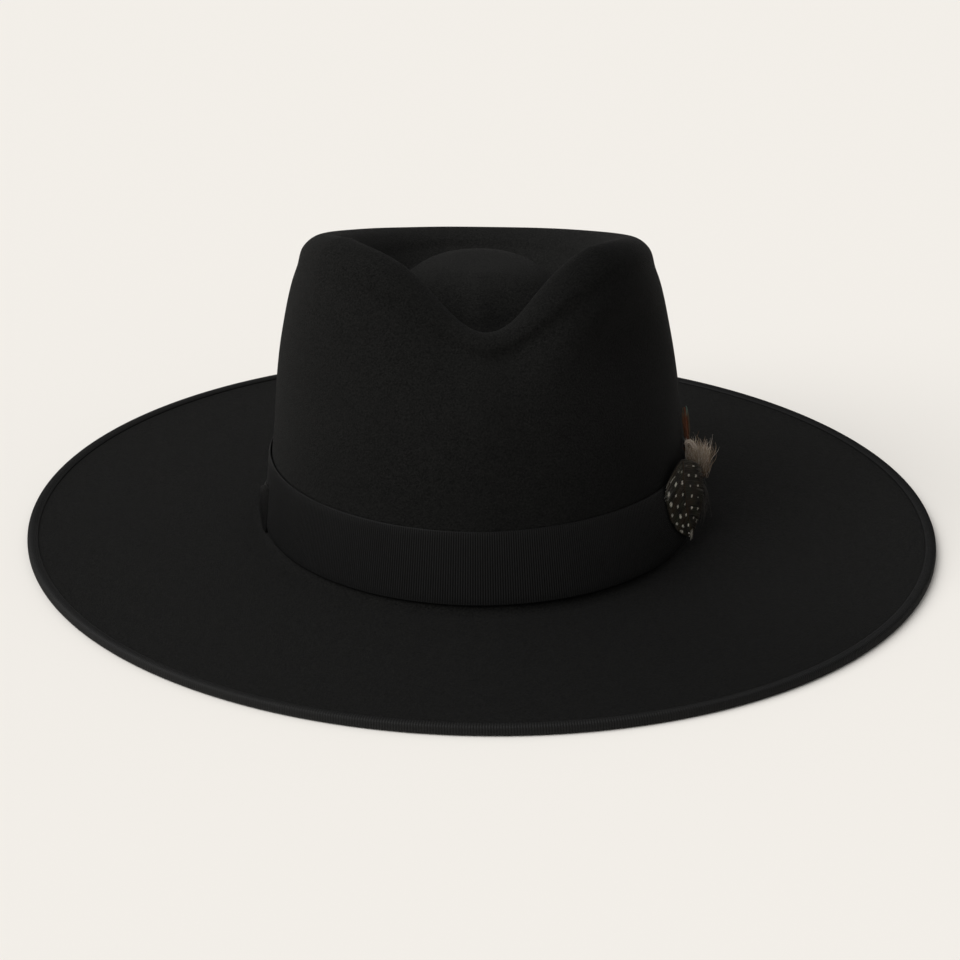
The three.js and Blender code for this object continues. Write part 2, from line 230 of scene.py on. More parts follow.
def smooth_rows(rows, step):
    """Fine rows on a smooth curve through the given ones, about step apart."""
    span = np.linalg.norm(np.diff(rows, axis=0), axis=-1).mean(axis=1)
    slope = np.diff(rows, axis=0) / span[:, None, None]
    tangent = np.empty_like(rows)
    tangent[0], tangent[-1] = slope[0], slope[-1]
    before, after = span[:-1, None, None], span[1:, None, None]
    tangent[1:-1] = (slope[:-1] * after + slope[1:] * before) / (before + after)
    fine = []
    for row, length in enumerate(span):
        count = max(1, math.ceil(length / step(row)))
        for t in np.arange(count) / count:
            fine.append(
                rows[row] * (2 * t ** 3 - 3 * t ** 2 + 1)
                + tangent[row] * length * (t ** 3 - 2 * t ** 2 + t)
                + rows[row + 1] * (3 * t ** 2 - 2 * t ** 3)
                + tangent[row + 1] * length * (t ** 3 - t ** 2)
            )
    fine.append(rows[-1])
    return np.array(fine)


def side_point(side, along, height, out):
    """A point on the crown's side at a place along Y and a height, standing out from the felt."""
    along, height, out = np.broadcast_arrays(*(np.asarray(v, float) for v in (along, height, out)))
    angle = np.arcsin(along / FOOT_HALF_LENGTH)
    for _ in range(4):
        angle = np.arcsin(along / (wall_reach(angle, height) + out))
    reach = wall_reach(angle, height) + out
    return np.stack([side * np.cos(angle) * reach + crown_lean(height), along, height], -1)


# Making meshes

def deselect():
    for thing in bpy.context.selected_objects:
        thing.select_set(False)


def edit_whole(operator, **settings):
    """Runs an operator of edit mode on the whole of the active piece."""
    bpy.ops.object.mode_set(mode="EDIT")
    bpy.ops.mesh.select_all(action="SELECT")
    operator(**settings)
    bpy.ops.object.mode_set(mode="OBJECT")


def shaped_grid(name, across, up, place, closed=False):
    """A grid primitive whose points go to place(u, v), with its doubles merged where it closes."""
    deselect()
    bpy.ops.mesh.primitive_grid_add(x_subdivisions=across, y_subdivisions=up, size=2)
    piece = bpy.context.active_object
    piece.name = piece.data.name = name
    flat = np.empty(len(piece.data.vertices) * 3)
    piece.data.vertices.foreach_get("co", flat)
    flat = flat.reshape(-1, 3)
    spots = place((flat[:, 0] + 1) / 2, (flat[:, 1] + 1) / 2) * MM
    piece.data.vertices.foreach_set("co", spots.ravel())
    if closed:
        edit_whole(bpy.ops.mesh.remove_doubles, threshold=1e-7)
    piece.data.update()
    return piece


def turn_faces():
    edit_whole(bpy.ops.mesh.flip_normals)


def thicken(piece, thickness, offset=-1.0):
    """Gives a sheet its wall, inwards from its faces unless the offset says otherwise."""
    wall = piece.modifiers.new("wall", "SOLIDIFY")
    wall.thickness = thickness * MM
    wall.offset = offset
    bpy.context.view_layer.objects.active = piece
    bpy.ops.object.modifier_apply(modifier=wall.name)


def finish_piece(piece, material, slot, *nodes):
    bpy.context.view_layer.objects.active = piece
    deselect()
    piece.select_set(True)
    bpy.ops.object.shade_smooth()
    piece.data.materials.clear()
    piece.data.materials.append(material)
    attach(piece, "root")
    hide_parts(*nodes)


# Materials

SHEEN_ROUGHNESS = 0.5
FIBRE_SHARE = 0.92
MOTTLE_SHARE = 0.08


def new_material(name, color, roughness, sheen=0.0, sheen_tint=(1, 1, 1)):
    material = bpy.data.materials.new(name)
    material.use_nodes = True
    shader = material.node_tree.nodes["Principled BSDF"]
    shader.inputs["Base Color"].default_value = (*color, 1)
    shader.inputs["Roughness"].default_value = roughness
    shader.inputs["Sheen Weight"].default_value = sheen
    shader.inputs["Sheen Roughness"].default_value = SHEEN_ROUGHNESS
    shader.inputs["Sheen Tint"].default_value = (*sheen_tint, 1)
    return material, shader


def grain_group():
    """Fine fibres with a little mottling: two colours, sizes and a roughness range in, the effect out."""
    group = bpy.data.node_groups.new("cloth_grain", "ShaderNodeTree")
    face = group.interface
    for label, kind in (("Dark", "Color"), ("Light", "Color"), ("Scale", "Float"), ("Fine", "Float"),
                        ("Depth", "Float"), ("Rough Low", "Float"), ("Rough High", "Float")):
        face.new_socket(label, in_out="INPUT", socket_type="NodeSocket" + kind)
    for label, kind in (("Color", "Color"), ("Roughness", "Float"), ("Normal", "Vector")):
        face.new_socket(label, in_out="OUTPUT", socket_type="NodeSocket" + kind)
    nodes, links = group.nodes, group.links
    given, result = nodes.new("NodeGroupInput"), nodes.new("NodeGroupOutput")
    place = nodes.new("ShaderNodeTexCoord")
    mottle, fibre = nodes.new("ShaderNodeTexNoise"), nodes.new("ShaderNodeTexNoise")
    for texture, size in ((mottle, "Scale"), (fibre, "Fine")):
        links.new(place.outputs["Object"], texture.inputs["Vector"])
        links.new(given.outputs[size], texture.inputs["Scale"])
    mottle.inputs["Detail"].default_value = 6
    fibre.inputs["Detail"].default_value = 4
    fibre.inputs["Roughness"].default_value = 0.58
    blend = nodes.new("ShaderNodeMix")
    blend.data_type = "RGBA"
    spread = nodes.new("ShaderNodeMapRange")
    spread.inputs["From Min"].default_value = 0.34
    spread.inputs["From Max"].default_value = 0.68
    both = nodes.new("ShaderNodeMath")
    both.operation = "MULTIPLY_ADD"
    both.inputs[1].default_value = FIBRE_SHARE
    links.new(fibre.outputs["Fac"], both.inputs[0])
    faint = nodes.new("ShaderNodeMath")
    faint.operation = "MULTIPLY"
    faint.inputs[1].default_value = MOTTLE_SHARE
    links.new(mottle.outputs["Fac"], faint.inputs[0])
    links.new(faint.outputs[0], both.inputs[2])
    links.new(both.outputs[0], spread.inputs["Value"])
    links.new(spread.outputs["Result"], blend.inputs["Factor"])
    links.new(given.outputs["Dark"], blend.inputs["A"])
    links.new(given.outputs["Light"], blend.inputs["B"])
    links.new(blend.outputs["Result"], result.inputs["Color"])
    rough = nodes.new("ShaderNodeMapRange")
    links.new(mottle.outputs["Fac"], rough.inputs["Value"])
    links.new(given.outputs["Rough Low"], rough.inputs["To Min"])
    links.new(given.outputs["Rough High"], rough.inputs["To Max"])
    links.new(rough.outputs["Result"], result.inputs["Roughness"])
    raised = nodes.new("ShaderNodeBump")
    links.new(given.outputs["Depth"], raised.inputs["Distance"])
    links.new(both.outputs[0], raised.inputs["Height"])
    links.new(raised.outputs["Normal"], result.inputs["Normal"])
    return group


GRAIN = grain_group()


def add_grain(material, shader, dark, light, scale, fine, depth, rough_low, rough_high):
    node = material.node_tree.nodes.new("ShaderNodeGroup")
    node.node_tree = GRAIN
    node.inputs["Dark"].default_value = (*dark, 1)
    node.inputs["Light"].default_value = (*light, 1)
    for label, value in (("Scale", scale), ("Fine", fine), ("Depth", depth),
                         ("Rough Low", rough_low), ("Rough High", rough_high)):
        node.inputs[label].default_value = value
    for label, socket in (("Color", "Base Color"), ("Roughness", "Roughness"), ("Normal", "Normal")):
        material.node_tree.links.new(node.outputs[label], shader.inputs[socket])
    return node


def shade_by(material, shader, grain, attribute, dark):
    """Moves the grain's colour towards dark by the piece's own attribute, or away from it below 0."""
    nodes, links = material.node_tree.nodes, material.node_tree.links
    share = nodes.new("ShaderNodeAttribute")
    share.attribute_name = attribute
    shaded = nodes.new("ShaderNodeMix")
    shaded.data_type = "RGBA"
    shaded.clamp_factor = False
    shaded.inputs["B"].default_value = (*dark, 1)
    links.new(share.outputs["Fac"], shaded.inputs["Factor"])
    links.new(grain.outputs["Color"], shaded.inputs["A"])
    links.new(shaded.outputs["Result"], shader.inputs["Base Color"])


def felt_material():
    material, shader = new_material("black_felt", (0.004, 0.004, 0.004), 0.95, 0.012, (0.8, 0.8, 0.82))
    grain = add_grain(
        material, shader, dark=(0.0028, 0.0028, 0.0027), light=(0.0122, 0.0122, 0.0116),
        scale=160, fine=1500, depth=0.0006, rough_low=0.85, rough_high=0.98,
    )
    shader.inputs["Specular IOR Level"].default_value = 0.06
    # Painted shade and painted light: the felt's attribute darkens or lightens the grain's colour
    shade_by(material, shader, grain, "felt_painted_shading", (0.0004, 0.0004, 0.0004))
    return material


def ribbon_material():
    material, shader = new_material("black_grosgrain", (0.006, 0.006, 0.006), 0.5)
    grain = add_grain(
        material, shader, dark=(0.0017, 0.0017, 0.0017), light=(0.0044, 0.0044, 0.0044),
        scale=260, fine=3200, depth=0.00008, rough_low=0.45, rough_high=0.62,
    )
    shader.inputs["Specular IOR Level"].default_value = 0.11
    # Painted shade between the ribs and painted light on the crests and the binding, from the ribbons'
    # attribute
    shade_by(material, shader, grain, "ribbon_painted_shading", (0.0002, 0.0002, 0.0002))
    return material


def attribute_material(name, roughness, sheen=0.0):
    """Colours come from the piece's own colour attribute, with fine flecks over them."""
    material, shader = new_material(name, (0.2, 0.2, 0.2), roughness, sheen)
    shader.inputs["Specular IOR Level"].default_value = 0.12
    tree = material.node_tree
    colour = tree.nodes.new("ShaderNodeAttribute")
    colour.attribute_name = "barb_colour"
    place = tree.nodes.new("ShaderNodeTexCoord")
    fleck = tree.nodes.new("ShaderNodeTexNoise")
    fleck.inputs["Scale"].default_value = 1500
    fleck.inputs["Detail"].default_value = 4
    shade = tree.nodes.new("ShaderNodeMix")
    shade.data_type = "RGBA"
    shade.blend_type = "MULTIPLY"
    shade.inputs["Factor"].default_value = 0.35
    tree.links.new(place.outputs["Object"], fleck.inputs["Vector"])
    tree.links.new(colour.outputs["Color"], shade.inputs["A"])
    tree.links.new(fleck.outputs["Color"], shade.inputs["B"])
    tree.links.new(shade.outputs["Result"], shader.inputs["Base Color"])
    return material


felt = felt_material()
grosgrain = ribbon_material()


# Felt body

COLUMNS = 264
CREASE_STEP = 1.6
WALL_STEP = 2.6
BRIM_STEP = 4.2
WALL_FROM = len(MOUND) + 1 + len(RIM) + len(SHOULDER)

# Patches of painted shade and painted light on the felt: degrees towards the left, spread, and how much
# darker they read
BRIM_PAINTED_SHADING = ((30, 38, 0.4), (88, 26, -0.1))
WALL_PAINTED_SHADING = ((54, 26, 0.42), (-72, 24, -0.2))
BRIM_SHADE = 0.05
CREASE_SHADE = -0.32

# Soft dents of the crown's front: degrees towards the left and spread, height and spread, depth
DENTS = ((52, 23, 90, 25, 9), (-40, 19, 92, 24, 2.6))
WAVE_DEPTH = 0.22


def felt_body():
    angle = -2 * math.pi * np.arange(COLUMNS + 1) / COLUMNS
    rows = crown_rows(angle)
    brim_from = len(rows) - len(BRIM)

    def step(row):
        if row < WALL_FROM:
            return CREASE_STEP
        return WALL_STEP if row < brim_from else BRIM_STEP

    fine = hand_worked(smooth_rows(rows, step))
    count = len(fine) - 1

    def place(u, v):
        row = np.rint((1 - v) * count).astype(int)
        column = np.rint(u * COLUMNS).astype(int)
        return fine[row, column]

    piece = shaped_grid("felt_body_fine", COLUMNS, count, place, closed=True)
    if piece.data.polygons[len(piece.data.polygons) // 2].normal.z < 0:
        turn_faces()
    thicken(piece, FELT)
    # Painted shade and painted light on the felt, kept as a point attribute for the material
    mark_points(piece, "felt_painted_shading", painted_felt_shading)
    finish_piece(piece, felt, "felt", "felt_body")


def painted_felt_shading(x, y, z):
    """Painted shade and light on the felt: above 0 where it is painted darker, as on the brim in the crown's
    shadow and on the crown's side turned from the key light, below 0 where it is painted lighter, as in the
    crease and towards the key light.
    """
    angle = np.arctan2(y, x)
    aside = towards_left(angle)
    on_brim = ramp(12 - z, 0, 8)
    in_crease = ramp(ridge_reach(angle) - np.hypot(x, y), 0, 12) * (z > 80)
    on_wall = (1 - on_brim) * (1 - in_crease)
    felt_painted_shading = on_brim * (patches_at(aside, BRIM_PAINTED_SHADING) + BRIM_SHADE)
    felt_painted_shading += on_wall * patches_at(aside, WALL_PAINTED_SHADING)
    return felt_painted_shading + CREASE_SHADE * in_crease


def hand_worked(spots):
    """Moves the crown's points by slow waves and soft dents, because a felt worked by hand isn't even."""
    x, y, z = (spots[..., axis] for axis in range(3))
    angle = np.arctan2(y, x)
    above_band = ramp(z - BRIM_TOP - BAND_HEIGHT, BAND_FOOT, 14)
    wave = (
        np.sin(x / 9.1 + 1.3) * np.sin(z / 13.7 + y / 17.0)
        + 0.8 * np.sin(x / 15.3 - z / 21.0 + 2.1) * np.sin(y / 12.4 - 0.7)
        + 0.5 * np.sin(x / 6.3 + y / 7.9 + z / 8.6)
    )
    dents = sum(
        depth * bump_at(towards_left(angle) - place, wide) * bump_at(z - height, tall)
        for place, wide, height, tall, depth in DENTS
    )
    dents *= smooth_step(ramp(ridge_height(angle) - z, 8, 26))
    reach = np.hypot(x, y).clip(20)
    outside = ramp(reach, 40, 12)
    out = spots.copy()
    out[..., :2] *= (1 + (WAVE_DEPTH * wave * above_band - dents * outside) / reach)[..., None]
    return out


# Grosgrain

def rib(turns, count):
    """Rounded ribs with narrow hollows between them, from 0 between two ribs to 1 on a crest."""
    return np.abs(np.sin(math.pi * turns * count)) ** 0.5


RIB_STEPS = 4
BAND_RIBS = 630
BINDING_RIBS = 1240
BAND_ROWS = 14
RIB_DEPTH = 0.52
SELVEDGE = 0.3
SELVEDGE_PROUD = 0.04
PRESSED_DEPTH = 0.05

# Heights in mm of the band's first three rows, which keep its edges crisp
BAND_RIM = (0, 0.35, 0.75)

# How the ribbons read: painted shade between the ribs and on the far side from the key light, painted
# highlights on the crests, and painted light towards the key light
RIB_PAINTED_CONTRAST = 2.9
SELVEDGE_SHADE = 0.2
BAND_PAINTED_FAR_SHADE = ((54, 26, 0.5),)
BINDING_LIGHT = 0.65
BINDING_NEAR_LIGHT = ((-38, 50, 2.1),)


def band_top(angle):
    """The band's height, which is a little more at the sides."""
    return BAND_HEIGHT + BAND_RISE * np.cos(angle) ** 2


def mark_points(piece, attribute, share):
    """Writes share(x, y, z), in mm, to each of the piece's points."""
    spots = np.empty(len(piece.data.vertices) * 3)
    piece.data.vertices.foreach_get("co", spots)
    x, y, z = spots.reshape(-1, 3).T / MM
    layer = piece.data.attributes.new(attribute, "FLOAT", "POINT")
    layer.data.foreach_set("value", share(x, y, z).astype(np.float32))


def band_painted_shading(x, y, z):
    """Painted shade: 1 between two ribs, where the ribbon is painted darkest, below 0 on their crests, which
    are painted lighter, and darker on the side away from the key light.
    """
    angle = np.arctan2(y, x - crown_lean(z))
    edge = np.minimum(z - BAND_FOOT, BAND_FOOT + band_top(angle) - z)
    ribbed = 1 - RIB_PAINTED_CONTRAST * rib(-angle / (2 * math.pi), BAND_RIBS)
    deep = np.where(edge > SELVEDGE, ribbed, SELVEDGE_SHADE)
    return np.minimum(1, deep + patches_at(towards_left(angle), BAND_PAINTED_FAR_SHADE))


def binding_painted_light(x, y, z):
    """Painted light and sheen on the binding: lighter than the felt, most towards the key light, with painted
    highlights on the rib crests.
    """
    angle = np.arctan2(y, x)
    bright = BINDING_LIGHT + patches_at(towards_left(angle), BINDING_NEAR_LIGHT)
    return -bright * (0.6 + 0.8 * rib(-angle / (2 * math.pi), BINDING_RIBS))


def hat_band():
    """The wide ribbon round the crown's foot, with plain selvedges, a little unevenly pressed."""
    rim = np.array(BAND_RIM) / BAND_HEIGHT
    rows = np.arange(len(BAND_RIM)) / BAND_ROWS

    def place(u, v):
        angle = -2 * math.pi * u
        tall = band_top(angle)
        v = np.interp(v, (*rows, *(1 - rows[::-1])), (*rim, *(1 - rim[::-1])))
        height = BAND_FOOT + v * tall
        edge = np.minimum(v, 1 - v) * tall
        inside = ramp(edge, SELVEDGE, 0.4)
        selvedge = SELVEDGE_PROUD * bump_at(edge - 0.2, 0.2)
        pressed = PRESSED_DEPTH * np.sin(23 * angle + 0.2 * height) * np.sin(7 * angle)
        out = GAP + BAND - RIB_DEPTH * (0.5 + (0.5 - rib(u, BAND_RIBS)) * inside) + selvedge + pressed
        return radial(angle, wall_reach(angle, height) + out, height)

    piece = shaped_grid("hat_band_ribbed", BAND_RIBS * RIB_STEPS, BAND_ROWS, place, closed=True)
    if piece.data.polygons[0].normal.dot(piece.data.polygons[0].center) < 0:
        turn_faces()
    thicken(piece, BAND * 0.6)
    # Painted shade between the ribs and on the far side, painted highlights on the crests
    mark_points(piece, "ribbon_painted_shading", band_painted_shading)
    finish_piece(piece, grosgrain, "grosgrain", "hat_band")


def brim_binding():
    """The narrow ribbon folded over the brim's edge, as one closed section carried round it."""
    top, thick, wide = BINDING_TOP, BINDING, BINDING_WIDTH
    middle = top / 2
    # Points of the section: inset from the edge, height, and share of the ribs' depth
    outer = [
        (wide + 0.05, BRIM_TOP + 0.08, 0), (wide - 0.4, BRIM_TOP + 0.5, 0), (wide - 1.0, top - 0.36, 0.6),
        (2.6, top - 0.08, 1), (1.3, top - 0.05, 1), (0.45, top - 0.45, 1), (0.08, top - 1.2, 1),
        (0, middle, 1), (0.08, 1.2, 1), (0.45, 0.4, 1), (1.3, 0.05, 0.3),
        (wide - 0.4, 0.02, 0), (wide, 0.25, 0),
    ]
    inner = [(wide, thick, 0), (thick, thick, 0), (thick, top - thick, 0), (wide, BRIM_TOP + 0.05, 0)]
    section = np.array(outer + inner + outer[:1])

    def place(u, v):
        row = np.rint(v * (len(section) - 1)).astype(int)
        inset, height, ribbed = section[row].T
        angle = -2 * math.pi * u
        sunk = RIB_DEPTH * (1 - rib(u, BINDING_RIBS)) * ribbed
        lean = np.clip((height - middle) / middle, -1, 1)
        plan = brim_point(angle, inset + sunk * (1 - np.abs(lean)))
        return np.concatenate([plan, (height - sunk * lean)[:, None]], -1)

    piece = shaped_grid("brim_binding_ribbed", BINDING_RIBS * RIB_STEPS, len(section) - 1, place, closed=True)
    edit_whole(bpy.ops.mesh.normals_make_consistent, inside=False)
    # Painted light and sheen over the whole binding
    mark_points(piece, "ribbon_painted_shading", binding_painted_light)
    finish_piece(piece, grosgrain, "grosgrain", "brim_binding")


# Side bow, on the wearer's right

BOW_CENTRE = 20
BOW_FOOT = 4.2
BOW_HEIGHT = 19.5
KNOT_WIDTH = 11
KNOT_HEIGHT = 9.5
KNOT_PROUD = 3.0
KNOT_DROP = 0.8
KNOT_RIB = 0.12
LOOP_LENGTH = 30
LOOP_PROUD = 2.5
LOOP_EDGE_PROUD = 0.9
LOOP_SUNK = 0.45
LOOP_TIP = 0.4
LOOP_RIB = 0.08
LOOP_ROWS = 22
RIBBON = 0.3
RIB_PITCH = 0.93

# The loop's outline by the knot: shares of its height, and of its length where it begins there
LOOP_CUT_HEIGHT = (0, 0.15, 0.44, 0.6, 0.8, 1)
LOOP_CUT = (0.06, 0, 0, 0.26, 0.58, 0.88)


def bow_loop(name, direction, node):
    """A ribbon folded back on itself: out along the front, round the fold and back on the band."""
    near = BOW_CENTRE + direction * (KNOT_WIDTH / 2 + GAP)
    ribs = round(2 * LOOP_LENGTH / RIB_PITCH)

    def place(u, v):
        start = np.interp(v, LOOP_CUT_HEIGHT, LOOP_CUT)
        share = start + (1 - start) * (1 - np.abs(2 * u - 1))
        front = u < 0.5
        swell = np.sin(math.pi * v) * np.sin(math.pi * (0.15 + 0.6 * share))
        full = (LOOP_EDGE_PROUD + (LOOP_PROUD - LOOP_EDGE_PROUD) * swell) * (1 - share ** 5)
        out = ON_BAND - LOOP_SUNK + RIBBON / 2 + full * front
        out += LOOP_RIB * rib(u, ribs) * front
        along = near + direction * share * (LOOP_LENGTH - LOOP_TIP)
        return side_point(-1, along, BOW_FOOT + v * BOW_HEIGHT, out)

    piece = shaped_grid(name, ribs * RIB_STEPS, LOOP_ROWS, place)
    if direction > 0:
        turn_faces()
    thicken(piece, RIBBON, 0.0)
    finish_piece(piece, grosgrain, "grosgrain", node)


def bow_knot():
    """The short ribbon round the loops' middle, with its ribs level."""
    low = BOW_FOOT - KNOT_DROP
    tall = KNOT_HEIGHT + KNOT_DROP
    ribs = round(tall / RIB_PITCH)

    def place(u, v):
        swell = np.sin(math.pi * (0.06 + 0.88 * v)) ** 0.6 * np.sin(math.pi * (0.08 + 0.84 * u)) ** 0.5
        tuck = 0.25 * np.cos(math.pi * (u - 0.5) * 5) * np.sin(math.pi * v)
        out = ON_BAND + RIBBON + (KNOT_PROUD - RIBBON) * swell + tuck * 0.4 + KNOT_RIB * rib(v, ribs)
        return side_point(-1, BOW_CENTRE + (u - 0.5) * KNOT_WIDTH, low + v * tall, out)

    piece = shaped_grid("bow_knot_ribbed", 40, ribs * RIB_STEPS, place)
    turn_faces()
    thicken(piece, RIBBON)
    finish_piece(piece, grosgrain, "grosgrain", "bow_knot")


# Feathers

UPWARDS = (0, 0, 1)
BACKWARDS = (0, 1, 0)
TURNED_OUT = (0.86, -0.5, 0)
STRAND_ACROSS = (0.7, -0.7, 0)


class Barbs:
    """Gathers tapered four-sided barbs, and makes one coloured mesh of them."""

    def __init__(self):
        self.points, self.faces, self.colours, self.count = [], [], [], 0

    def add(self, path, across, widths, depths, colours):
        path = np.asarray(path, float)
        along = np.gradient(path, axis=0)
        along /= np.linalg.norm(along, axis=1, keepdims=True)
        across = np.broadcast_to(across, path.shape)
        across = across - (across * along).sum(1, keepdims=True) * along
        across = across / np.linalg.norm(across, axis=1, keepdims=True)
        lift = np.cross(along, across)
        wide = across * (np.broadcast_to(widths, len(path)) / 2)[:, None]
        deep = lift * (np.broadcast_to(depths, len(path)) / 2)[:, None]
        ring = np.stack([path + wide, path + deep, path - wide, path - deep], 1)
        first = self.count + 4 * np.arange(len(path) - 1)[:, None]
        side = np.arange(4)[None]
        after = (side + 1) % 4
        quads = np.stack([first + side, first + after, first + 4 + after, first + 4 + side], -1)
        last = self.count + 4 * (len(path) - 1)
        caps = np.array([[self.count + 3, self.count + 2, self.count + 1, self.count],
                         [last, last + 1, last + 2, last + 3]])
        self.points.append(ring.reshape(-1, 3))
        self.faces.append(np.concatenate([quads.reshape(-1, 4), caps]))
        self.colours.append(np.repeat(np.broadcast_to(colours, path.shape), 4, axis=0))
        self.count += 4 * len(path)

    def piece(self, name, material, slot, node):
        mesh = bpy.data.meshes.new(name)
        points = np.concatenate(self.points) * MM
        mesh.from_pydata(points.tolist(), [], np.concatenate(self.faces).tolist())
        layer = mesh.color_attributes.new("barb_colour", "FLOAT_COLOR", "POINT")
        colours = np.concatenate(self.colours)
        flat = np.concatenate([colours, np.ones((len(colours), 1))], 1)
        layer.data.foreach_set("color", flat.ravel().astype(np.float32))
        thing = bpy.data.objects.new(name, mesh)
        bpy.context.collection.objects.link(thing)
        finish_piece(thing, material, slot, node)


def mix(a, b, share):
    share = np.asarray(share, float)[..., None]
    return np.asarray(a) * (1 - share) + np.asarray(b) * share


def strand(start, tip, t, bend, curve):
    """A strand from start to tip at the shares t, moved aside by bend times the curve."""
    return start + (tip - start) * t[:, None] + bend * curve[:, None]


GUINEA_CENTRE = -37
GUINEA_HALF = 13.5
GUINEA_FOOT = 8.6
GUINEA_HEIGHT = 28.6
GUINEA_LIFT = 5.6
VANE_HEIGHT = (0, 0.1, 0.26, 0.44, 0.66, 0.84, 0.95, 1)
VANE_WIDTH = (0.1, 0.42, 0.76, 0.94, 1.0, 0.97, 0.82, 0.5)
VANE_MIDDLE = (-35.5, -36.1, -36.6, -37, -37.1, -37.2, -36.9, -36.2)
SPOT_ROWS = (-0.86, -0.5, -0.1, 0.32, 0.7)
SPOT_PITCH = 4.6
GUINEA_DARK = (0.006, 0.005, 0.0035)
GUINEA_OLIVE = (0.026, 0.029, 0.014)
GUINEA_BROWN = (0.034, 0.019, 0.008)
GUINEA_MAUVE = (0.040, 0.034, 0.031)
GUINEA_FLECK = (0.13, 0.12, 0.09)
GUINEA_SHAFT = (0.05, 0.035, 0.02)
GUINEA_DOWN = (0.5, 0.47, 0.41)
BARB_END = (0.10, 0.09, 0.07)
FRAYED_END = (0.30, 0.29, 0.27)
SPOT_CREAM = (0.80, 0.76, 0.66)
SPOT_RIM = (0.006, 0.005, 0.004)


def guinea_middle(h):
    return np.interp(h, VANE_HEIGHT, VANE_MIDDLE)


def guinea_half(h):
    return np.interp(h, VANE_HEIGHT, VANE_WIDTH) * GUINEA_HALF


def guinea_place(along, h, above):
    edge = GUINEA_CENTRE - GUINEA_HALF
    back = ON_BAND + GUINEA_LIFT * np.clip((along - edge) / (2 * GUINEA_HALF), 0, 1.2) ** 2
    return side_point(1, along, GUINEA_FOOT + h * GUINEA_HEIGHT, back + above)


def guinea_colours(along, h, rng, tone):
    """Dark brown and olive barbs with rows of cream spots, larger towards the front edge."""
    half = guinea_half(h)
    across = (along - guinea_middle(h)) / half
    height = h * GUINEA_HEIGHT
    olive = np.clip(0.5 + 0.5 * np.sin(along * 0.9 + height * 0.35 + 1.0), 0, 1)
    brown = np.clip(0.5 + 0.5 * np.sin(height * 0.5 - along * 0.4), 0, 1)
    mauve = np.clip((h - 0.55) * 1.2 + across * 0.4, 0, 0.6)
    ground = mix(GUINEA_DARK, GUINEA_OLIVE, olive * tone)
    ground = mix(ground, GUINEA_BROWN, brown * 0.6)
    ground = mix(ground, GUINEA_MAUVE, mauve * rng.uniform(0, 1))
    fleck = np.clip(np.sin(along * 6.3 + 9 * rng.random()) * 2.4 - 1.5, 0, 1) * rng.uniform(0, 1)
    ground = mix(ground, GUINEA_FLECK, fleck * (0.25 + 1.1 * np.clip(h - 0.62, 0, 1)))
    cover = np.zeros_like(along)
    rim = np.zeros_like(along)
    for k, row in enumerate(SPOT_ROWS):
        # Larger in the rows by the front edge and where the vane is wide, and then uneven along a row
        size = 0.98 - 0.42 * (row + 0.84) / 1.68
        size = size * (0.7 + 0.2 * np.minimum(1, half / GUINEA_HALF))
        off = (across - row) * half
        phase = height / SPOT_PITCH + (0.5 if k % 2 else 0) + 0.13 * math.sin(k * 2.3)
        step = (phase - np.round(phase)) * SPOT_PITCH
        number = np.round(phase)
        jitter = 0.45 * np.sin(number * 2.7 + k * 1.9)
        size = size * (0.86 + 0.2 * np.sin(number * 1.7 + k * 2.9))
        distance = np.hypot(off + jitter, step * 0.85) / size
        cover = np.maximum(cover, np.clip((1.05 - distance) * 5, 0, 1))
        rim = np.maximum(rim, np.clip(1 - np.abs(distance - 1.35) * 3.2, 0, 1))
    cover = cover * np.clip((1.02 - np.abs(across)) * 8, 0, 1) * np.clip((1.04 - h) * 9, 0, 1)
    ground = mix(ground, SPOT_RIM, rim * 0.8)
    return mix(ground, SPOT_CREAM, cover * rng.uniform(0.82, 1.0))


